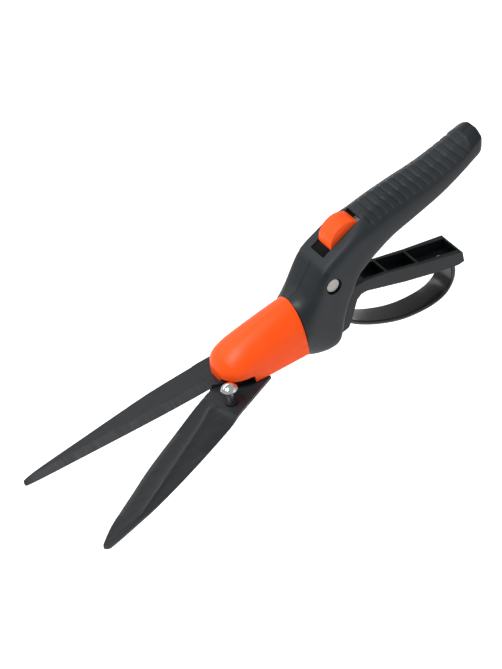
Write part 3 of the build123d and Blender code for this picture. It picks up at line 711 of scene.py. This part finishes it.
grip = handle_solid("soft_grip", grip_rubber, inset=-GRIP_PROUD, ribs=True)
cut(grip, prism("seam_block", GRIP_REGION, GRIP_REGION_HALF), "INTERSECT")
cut(grip, handle_solid("grip_core", inset=GRIP_CORE, stations=CORE_STATIONS))
cut(grip, window_block("grip_window"))
smooth(grip, degrees=38)
dress(grip, "handle", "grip_rubber", "grip_overmould")

# %% [markdown]
# The two hard shells meet on the middle plane. Each is a wall about two and a half millimetres
# thick, open at the back underneath, where the lever comes out, and on top for the slider. A thin
# skin with a solidify step would do for the wall, but not for the step under the grip. So they are
# cut from the same solid form, then halved, with a hair of clearance that shows as a parting line.

# %% Body shells
CAVITY = [(60, -20), (60, 17.5), (66, 24), (77, 37), (104, 52), (112, 50), (112, 36.5),
          (106, 32.5), (120, 18), (104, -8), (92, -40), (75, -40), (75, -20)]
CAVITY_HALF = 14.2
SHELL_STEP = 2.0
FULCRUM, RECESS_FLOOR, RECESS_MOUTH, RECESS_RADIUS = (78.4, 27.4), 14.4, 20.0, 5.65
SEAM_GAP = 0.00013
HALF_SPACE, HALF_SPACE_DEPTH = [(40, -60), (240, -60), (240, 120), (40, 120)], 20


def cylinder(name, centre, y_from, y_to, radius, steps=64):
    """A round bar across the tool."""
    turns = [2 * math.pi * i / steps for i in range(steps)]
    rings = [[at(centre[0] + radius * math.cos(turn), y, centre[1] + radius * math.sin(turn))
              for turn in turns] for y in (y_from, y_to)]
    return closed_skin(name, rings)


shells = handle_solid("shells", shell_plastic)
skin = prism("grip_skin", GRIP_REGION, GRIP_REGION_HALF)
cut(skin, handle_solid("shell_core", inset=SHELL_STEP, stations=CORE_STATIONS))
cut(shells, skin)
cut(shells, prism("cavity", CAVITY, CAVITY_HALF))
cut(shells, window_block("shell_window"))
for side in (-1, 1):
    floor_y, mouth_y = side * RECESS_FLOOR, side * RECESS_MOUTH
    cut(shells, cylinder("recess", FULCRUM, floor_y, mouth_y, RECESS_RADIUS))
for name, side, node in (("near_shell", -1, "body_shell_near"), ("far_shell", 1, "body_shell_far")):
    half = copy_of(shells, name)
    keep = prism("keep", HALF_SPACE, HALF_SPACE_DEPTH)
    keep.data.transform(Matrix.Translation((0, side * (HALF_SPACE_DEPTH * MM + SEAM_GAP), 0)))
    cut(half, keep, "INTERSECT")
    smooth(half, degrees=38)
    dress(half, "handle", "shell_plastic", node)
bpy.data.objects.remove(shells)

# %% [markdown]
# The orange hood slopes down from the handle to a blunt nose. Every cut across it is a half ellipse
# on straight sides. It is open underneath for the blades, and its lower edge steps up beside the
# pivot so that the pin's head has room. It could be carved from a solid, but a skin keeps the wall
# even: a skin through the cuts is trimmed with planes, and a solidify step gives it its wall.

# %% Head cover's skin
COVER_REAR = 53.2
COVER_CUTS = [
    # x, half width, height of the top
    (COVER_REAR, 17.9, 20.8), (47.0, 17.9, 19.7), (41.5, 17.9, 18.5), (34.0, 17.9, 16.7),
    (26.8, 17.9, 14.8), (19.8, 17.8, 12.9), (12.8, 17.6, 10.7), (8.8, 17.1, 9.2), (4.8, 16.2, 7.3),
    (2.0, 15.0, 5.6), (0.0, 13.6, 4.1), (-2.0, 11.0, 1.8), (-3.6, 8.0, -0.9), (-4.6, 5.4, -3.0),
]
SIDE_TOP, SIDE_FOOT, SIDE_FLARE = -5.5, -12.5, 0.25
ARCH_STEPS, SIDE_STEPS, COVER_ROWS = 56, 8, 6


def half_ellipse(half, foot, top, steps):
    """Points as (y, height) over an arch, from its right foot to its left one."""
    turns = [math.pi * i / steps for i in range(steps + 1)]
    return [(half * math.cos(turn), foot + (top - foot) * math.sin(turn)) for turn in turns]


def cover_outline(half, top):
    """One cut across the hood: straight sides with a half ellipse on them."""
    arch = half_ellipse(half, SIDE_TOP, top, ARCH_STEPS)
    side = [SIDE_TOP + (SIDE_FOOT - SIDE_TOP) * i / SIDE_STEPS for i in range(SIDE_STEPS, 0, -1)]
    right = [(half + SIDE_FLARE, h) for h in side]
    return right + arch + [(-half - SIDE_FLARE, h) for h in reversed(side)]


def hood(name):
    """The hood's outer skin, open underneath and behind, closed at the nose."""
    rows = through(COVER_CUTS, COVER_ROWS)
    vertices = [at(x, y, h) for x, half, top in rows for y, h in cover_outline(half, top)]
    count = len(vertices) // len(rows)
    faces = strip_faces(len(rows), count)
    faces.append(tuple((len(rows) - 1) * count + c for c in range(count)))
    return new_piece(name, vertices, faces, orange_plastic)


cover = hood("head_cover")
print("hood skin", len(cover.data.polygons), "faces")

# %% [markdown]
# The hood's lower edge is level, and steps up in front of a slanted corner beside the pivot. A
# boolean needs a solid, and the hood is still a skin, so planes cut its faces along those lines and
# the faces below are dropped. Then the wall grows inwards from what is left.

# %% Head cover's lower edge and wall
FAR_EDGE, NOTCH_TOP, NOTCH_REAR, NOTCH_SIDE = -10.35, -7.2, 12.9, -2.4
NOTCH_LEAN, NOTCH_FLARE = 0.12, 0.4
COVER_WALL = 2.0


def slice_plane(work, point, normal):
    """Cuts every face that a plane crosses, so that faces can be dropped cleanly."""
    everything = work.verts[:] + work.edges[:] + work.faces[:]
    bmesh.ops.bisect_plane(work, geom=everything, plane_co=point, plane_no=normal, dist=1e-7)


def is_cut_away(face):
    """Whether a face lies under the far edge, or in the notch beside the pivot."""
    x, y, z = face.calc_center_median() / MM
    h = z - AXIS_Z / MM
    below = h - NOTCH_TOP
    under_edge = h < FAR_EDGE and (y > NOTCH_SIDE or x < NOTCH_REAR)
    ahead = x + NOTCH_LEAN * below < NOTCH_REAR
    return under_edge or (below < 0 and ahead and y - NOTCH_FLARE * below < NOTCH_SIDE)


def open_cover(piece):
    """Trims the hood's lower edge and cuts the notch."""
    work = bmesh.new()
    work.from_mesh(piece.data)
    slice_plane(work, at(0, 0, FAR_EDGE), (0, 0, 1))
    slice_plane(work, at(0, 0, NOTCH_TOP), (0, 0, 1))
    slice_plane(work, at(NOTCH_REAR, 0, NOTCH_TOP), (1, 0, NOTCH_LEAN))
    slice_plane(work, at(0, NOTCH_SIDE, NOTCH_TOP), (0, 1, -NOTCH_FLARE))
    doomed = [face for face in work.faces if is_cut_away(face)]
    bmesh.ops.delete(work, geom=doomed, context="FACES")
    bmesh.ops.recalc_face_normals(work, faces=work.faces)
    work.to_mesh(piece.data)
    work.free()


open_cover(cover)
wall = cover.modifiers.new("wall", "SOLIDIFY")
wall.thickness = COVER_WALL * MM
wall.offset = -1.0
round_edges(cover, 0.0003, degrees=50)
smooth(cover, degrees=50)
dress(cover, "head", "orange_plastic", "cover")

# %% [markdown]
# Behind, the hood's rim runs on underneath as a closed ring, which rides round the handle's collar
# when the head is turned. The upper half is there already, so only a band between two half ellipses
# is added below, a loft of four curves. A whole torus would show twice where it met the hood.

# %% Cover rim
RIM_FRONT, RIM_DROP, RIM_HALF, RIM_HOLE_HALF = 48.2, -22.0, 18.15, 15.9
RIM_STEPS = 64


def rim_ring(name):
    """The ring that closes the hood's rear underneath."""
    outer = half_ellipse(RIM_HALF, SIDE_TOP, RIM_DROP, RIM_STEPS)
    inner = half_ellipse(RIM_HOLE_HALF, SIDE_TOP, RIM_DROP + COVER_WALL, RIM_STEPS)
    curves = ((RIM_FRONT, outer), (COVER_REAR, outer), (COVER_REAR, inner), (RIM_FRONT, inner))
    vertices = [at(x, y, h) for x, curve in curves for y, h in curve]
    count, rows = RIM_STEPS + 1, len(curves)
    faces = [(r * count + c, r * count + c + 1,
              (r + 1) % rows * count + c + 1, (r + 1) % rows * count + c)
             for r in range(rows) for c in range(RIM_STEPS)]
    faces.append(tuple(r * count for r in range(rows)))
    faces.append(tuple(r * count + RIM_STEPS for r in reversed(range(rows))))
    return new_piece(name, vertices, faces, orange_plastic)


rim = rim_ring("cover_rim")
round_edges(rim, 0.0006, degrees=30, segments=3)
smooth(rim, degrees=60)
dress(rim, "head", "orange_plastic", "cover")

# %% [markdown]
# The fixed blade is a flat coated plate whose whole cutting edge was ground to a steep bevel,
# across which the wheel's marks run. A bevel modifier could slope the edge, but not with a width
# that changes along it. So the plate is lofted from cuts along its length, each with the cutting
# edge, the bevel's upper line and the back.

# %% Fixed blade
FIXED_CUTS = [
    # x, cutting edge y, bevel's upper line y, back y
    (-144.4, -1.1, -0.2, 0.5), (-143.6, -1.7, 0.8, 1.5), (-141.0, -2.0, 1.6, 2.5),
    (-134.5, -2.4, 2.0, 4.1), (-118.0, -2.8, 2.5, 6.8), (-101.3, -3.1, 2.6, 9.2),
    (-75.0, -3.6, 2.6, 13.1), (-46.4, -3.9, 2.6, 17.1), (-25.0, -3.7, 2.6, 18.9),
    (-10.7, -3.3, 2.6, 19.8),
]
FIXED_TAIL_CUTS = [
    # x, near y, far y
    (-10.7, -3.3, 19.8), (-5.5, -5.5, 20.2), (3.9, -12.0, 20.5), (24.0, -12.0, 17.8),
    (44.0, -12.0, 15.0),
]
BLADE_ROWS = 8
EDGE_LAND = 0.35
LEAST_FLAT, BACK_SLOPE = 0.1, 0.5
BEVEL_LEAN, BEVEL_RISE = -0.2, 0.3


def plate_faces(node):
    """The heights of a packed plate's lower and upper face, in millimetres."""
    low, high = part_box(node)
    return low[2] / MM, high[2] / MM


def lofted_plate(name, rings, *materials):
    """A plate from rings of (x, y, z) points in millimetres across it."""
    return closed_skin(name, np.array(rings) * MM, *materials)


def fixed_blade_rings():
    """Rings round the blade, cutting edge first."""
    z0, z1 = plate_faces("fixed_blade")
    rings = []
    for x, edge_y, bevel_y, back_y in through(FIXED_CUTS, BLADE_ROWS):
        flat_y = max(bevel_y + LEAST_FLAT, back_y - BACK_SLOPE)
        rings.append([(x, edge_y, z0), (x, edge_y, z0 + EDGE_LAND), (x, bevel_y, z1),
                      (x, flat_y, z1), (x, back_y, z1 - EDGE_LAND), (x, back_y, z0)])
    return rings


def fixed_tail_rings():
    """Square-edged rings round the plate that is riveted to the head."""
    z0, z1 = plate_faces("fixed_blade")
    return [[(x, near, z0), (x, near, z1), (x, far, z1), (x, far, z0)]
            for x, near, far in FIXED_TAIL_CUTS]


def grind(piece):
    """Gives the second material to the bevel, the only upper face that leans towards -Y."""
    for polygon in piece.data.polygons:
        leans, rises = polygon.normal.y < BEVEL_LEAN, polygon.normal.z > BEVEL_RISE
        polygon.material_index = int(leans and rises)


fixed_blade = lofted_plate("fixed_blade_pressed", fixed_blade_rings(), blade_coating, bevel_steel)
grind(fixed_blade)
fixed_tail = lofted_plate("fixed_blade_tail", fixed_tail_rings(), blade_coating)
for piece in (fixed_blade, fixed_tail):
    smooth(piece, degrees=14)
    dress(piece, "head", "blade_steel", "fixed_blade")

# %% [markdown]
# The moving blade is stiffened by a press: a rounded fold runs from a cross crease at the root
# towards the tip, where it meets the back edge, and the strip behind it slopes down. The fold
# catches a long bright line. It could be pulled up in a flat mesh by hand, but a loft from cuts
# square to the blade keeps its fold even. Each cut is three points in plan and a press depth.

# %% Moving blade
MOVING_CUTS = [
    # cutting edge x, y, fold x, y, back x, y, how far the back strip is pressed down
    (-133.6, -76.2, -132.9, -77.0, -132.0, -77.9, 0.0),
    (-132.0, -74.0, -130.2, -76.6, -129.0, -78.3, 0.0),
    (-121.8, -65.2, -118.0, -71.4, -116.5, -75.2, 0.1),
    (-110.2, -57.8, -104.8, -69.4, -104.2, -71.7, 0.35),
    (-99.1, -50.9, -94.4, -63.6, -90.6, -67.7, 0.8),
    (-77.8, -37.7, -74.4, -51.8, -68.6, -59.7, 1.0),
    (-49.8, -22.6, -50.3, -37.0, -44.5, -50.0, 1.0),
    (-31.4, -12.7, -33.3, -26.4, -28.0, -42.9, 1.0),
    (-20.9, -7.5, -21.6, -18.0, -18.2, -38.4, 1.0),
    (-18.3, -6.3, -17.6, -19.4, -12.4, -35.0, 0.0),
]
DISH, DROP = 0.32, 1.15
EDGE_STRIP, UNDER_STRIP, UNDER_STEP = 0.07, 0.03, 0.2
# How far across each strip a point lies, and the share of the dish or the drop that it takes.
DISH_POINTS = ((0.3, 0.35), (0.6, 0.85), (0.8, 1.0), (0.92, 0.55))
DROP_POINTS = ((0.07, 0.16), (0.18, 0.5), (0.34, 0.82), (0.95, 1.0))


def across(start, end, share):
    """The point in plan a share of the way from start to end."""
    return start * (1 - share) + end * share


def moving_blade_rings():
    """Rings round the blade, from the cutting edge over the fold and back underneath."""
    z0, z1 = plate_faces("moving_blade")
    rings = []
    for *plan, pressed in through(MOVING_CUTS, BLADE_ROWS):
        edge, fold, back = np.array(plan).reshape(3, 2)
        depth = max(0.0, min(1.0, pressed))
        foot = z1 - DROP * depth
        rings.append([
            (*edge, z1 - EDGE_LAND), (*across(edge, fold, EDGE_STRIP), z1),
            *((*across(edge, fold, t), z1 - DISH * depth * s) for t, s in DISH_POINTS),
            (*fold, z1),
            *((*across(fold, back, t), z1 - DROP * depth * s) for t, s in DROP_POINTS),
            (*back, foot - EDGE_LAND), (*back, z0 + UNDER_STEP),
            (*across(back, fold, UNDER_STRIP), z0), (*fold, z0), (*edge, z0)])
    return rings


moving_blade = lofted_plate("moving_blade_pressed", moving_blade_rings(), blade_coating)
smooth(moving_blade, degrees=24)
dress(moving_blade, "cutter", "blade_steel", "moving_blade")

# %% [markdown]
# Behind the crease the moving blade is a flat tail, round the pivot and out to the stud that drives
# it. It could be cut from a larger plate with booleans, but only its outline matters, so it is one
# ring raised to the plate's thickness, with its edges rounded as a press leaves them.

# %% Moving blade's tail
TAIL_OUTLINE = [(-18.3, -6.3), (-13.1, -4.2), (-4, 7), (3, 10.5), (10, 8.5), (15, 2),
                (23.9, -18.2), (-9.7, -33.5), (-12.4, -35.0), (-15.0, -27.5), (-17.6, -19.4)]
tail_rings = [[(x, y, z) for x, y in TAIL_OUTLINE] for z in plate_faces("moving_blade")]
moving_tail = lofted_plate("moving_blade_tail", tail_rings, blade_coating)
round_edges(moving_tail, 0.0003, degrees=30)
dress(moving_tail, "cutter", "blade_steel", "moving_blade")

# %% [markdown]
# The guard is a flat strap of glossy plastic that leaves the lever's front foot, runs under the
# fingers and comes up behind them. Its edges are fully rounded so that they are kind to the hand.
# A curve with a bevel profile would give the strap, but turns its section as it likes; here one
# section is swept along the line, always square to it and always level.

# %% Finger guard
GUARD_LINE = [(90, -13.5), (97, -19.2), (108, -25.8), (120, -31.2), (132, -34.8), (144, -36.2),
              (155, -35.8), (164, -32.8), (170.0, -26.4), (172.4, -19.0), (172.2, -11.6)]
STRAP_HALF, STRAP_THICKNESS = 8.7, 3.0
STRAP_ROWS, CORNER_STEPS = 12, 8


def strap_section():
    """The strap's rounded section as (y, lift)."""
    corner = STRAP_THICKNESS / 2
    section = []
    for side in (1, -1):
        for k in range(CORNER_STEPS + 1):
            turn = math.pi / 2 - math.pi * k / CORNER_STEPS
            y = side * (STRAP_HALF - corner) + side * corner * math.cos(turn)
            section.append((y, side * corner * math.sin(turn)))
    return section


def strap(name):
    """A rounded strap swept along the guard's line."""
    line = through(GUARD_LINE, STRAP_ROWS)
    heading = np.gradient(line, axis=0)
    heading /= np.linalg.norm(heading, axis=1, keepdims=True)
    upward = np.stack([-heading[:, 1], heading[:, 0]], axis=1)
    rings = []
    for centre, normal in zip(line, upward):
        rings.append([at(centre[0] + normal[0] * lift, y, centre[1] + normal[1] * lift)
                      for y, lift in strap_section()])
    return closed_skin(name, rings, guard_plastic)


guard = strap("guard_strap")
smooth(guard, degrees=60)
dress(guard, "lever", "guard_plastic", "finger_guard")

# %% [markdown]
# The lock slider is an arched thumb piece. Fine ribs run across it, so that a wet thumb can move
# it, and a straight skirt reaches down into the window. It could be an array of small bars on an
# arc, but moulded ribs melt into the arc, so they are a ripple in the radius of one profile.

# %% Lock slider
SLIDER_LENGTH, SLIDER_HALF, SLIDER_RISE, SLIDER_SHIFT = 24.4, 6.85, 7.8, 2.2
SLIDER_RIBS, SLIDER_RIB_RISE, SKIRT_DEPTH = 15, 0.16, 3.6
PROFILE_STEPS = 180
RIBBED_SHARE, RIB_FADE_POWER = 0.86, 8
# How far in from the side each copy of the profile stands, and how far it is let down there.
SLIDER_EDGE = ((0.0, 0.5), (0.25, 0.15), (0.6, 0.0))


def slider_profile():
    """The side view of the arch with its ribs, as (distance along, lift)."""
    radius = (SLIDER_LENGTH**2 / 4 + SLIDER_RISE**2) / (2 * SLIDER_RISE)
    span = math.asin(SLIDER_LENGTH / 2 / radius)
    profile = []
    for i in range(PROFILE_STEPS + 1):
        turn = -span + 2 * span * i / PROFILE_STEPS
        inside = max(0.0, 1 - (abs(turn) / (span * RIBBED_SHARE))**RIB_FADE_POWER)
        wave = 0.5 + 0.5 * math.cos(2 * math.pi * SLIDER_RIBS * i / PROFILE_STEPS)
        r = radius - SLIDER_RIB_RISE + SLIDER_RIB_RISE * wave * inside
        profile.append((r * math.sin(turn), r * math.cos(turn) - radius + SLIDER_RISE))
    return profile + [(SLIDER_LENGTH / 2, -SKIRT_DEPTH), (-SLIDER_LENGTH / 2, -SKIRT_DEPTH)]


def arched_slider(name):
    """A ribbed arch that stands in the window, with a straight skirt below."""
    near = [(-SLIDER_HALF + inward, down) for inward, down in SLIDER_EDGE]
    sides = near + [(-y, down) for y, down in reversed(near)]
    rings = [[on_slope(along + SLIDER_SHIFT, y, lift - down if lift > 0 else lift)
              for along, lift in slider_profile()] for y, down in sides]
    return closed_skin(name, rings, orange_plastic)


slider = arched_slider("thumb_slider")
smooth(slider, degrees=40)
dress(slider, "slider", "orange_plastic", "lock_slider")

# %% [markdown] Last, the sizes. They could be read off in the viewport, but a file can be
# compared by a program.
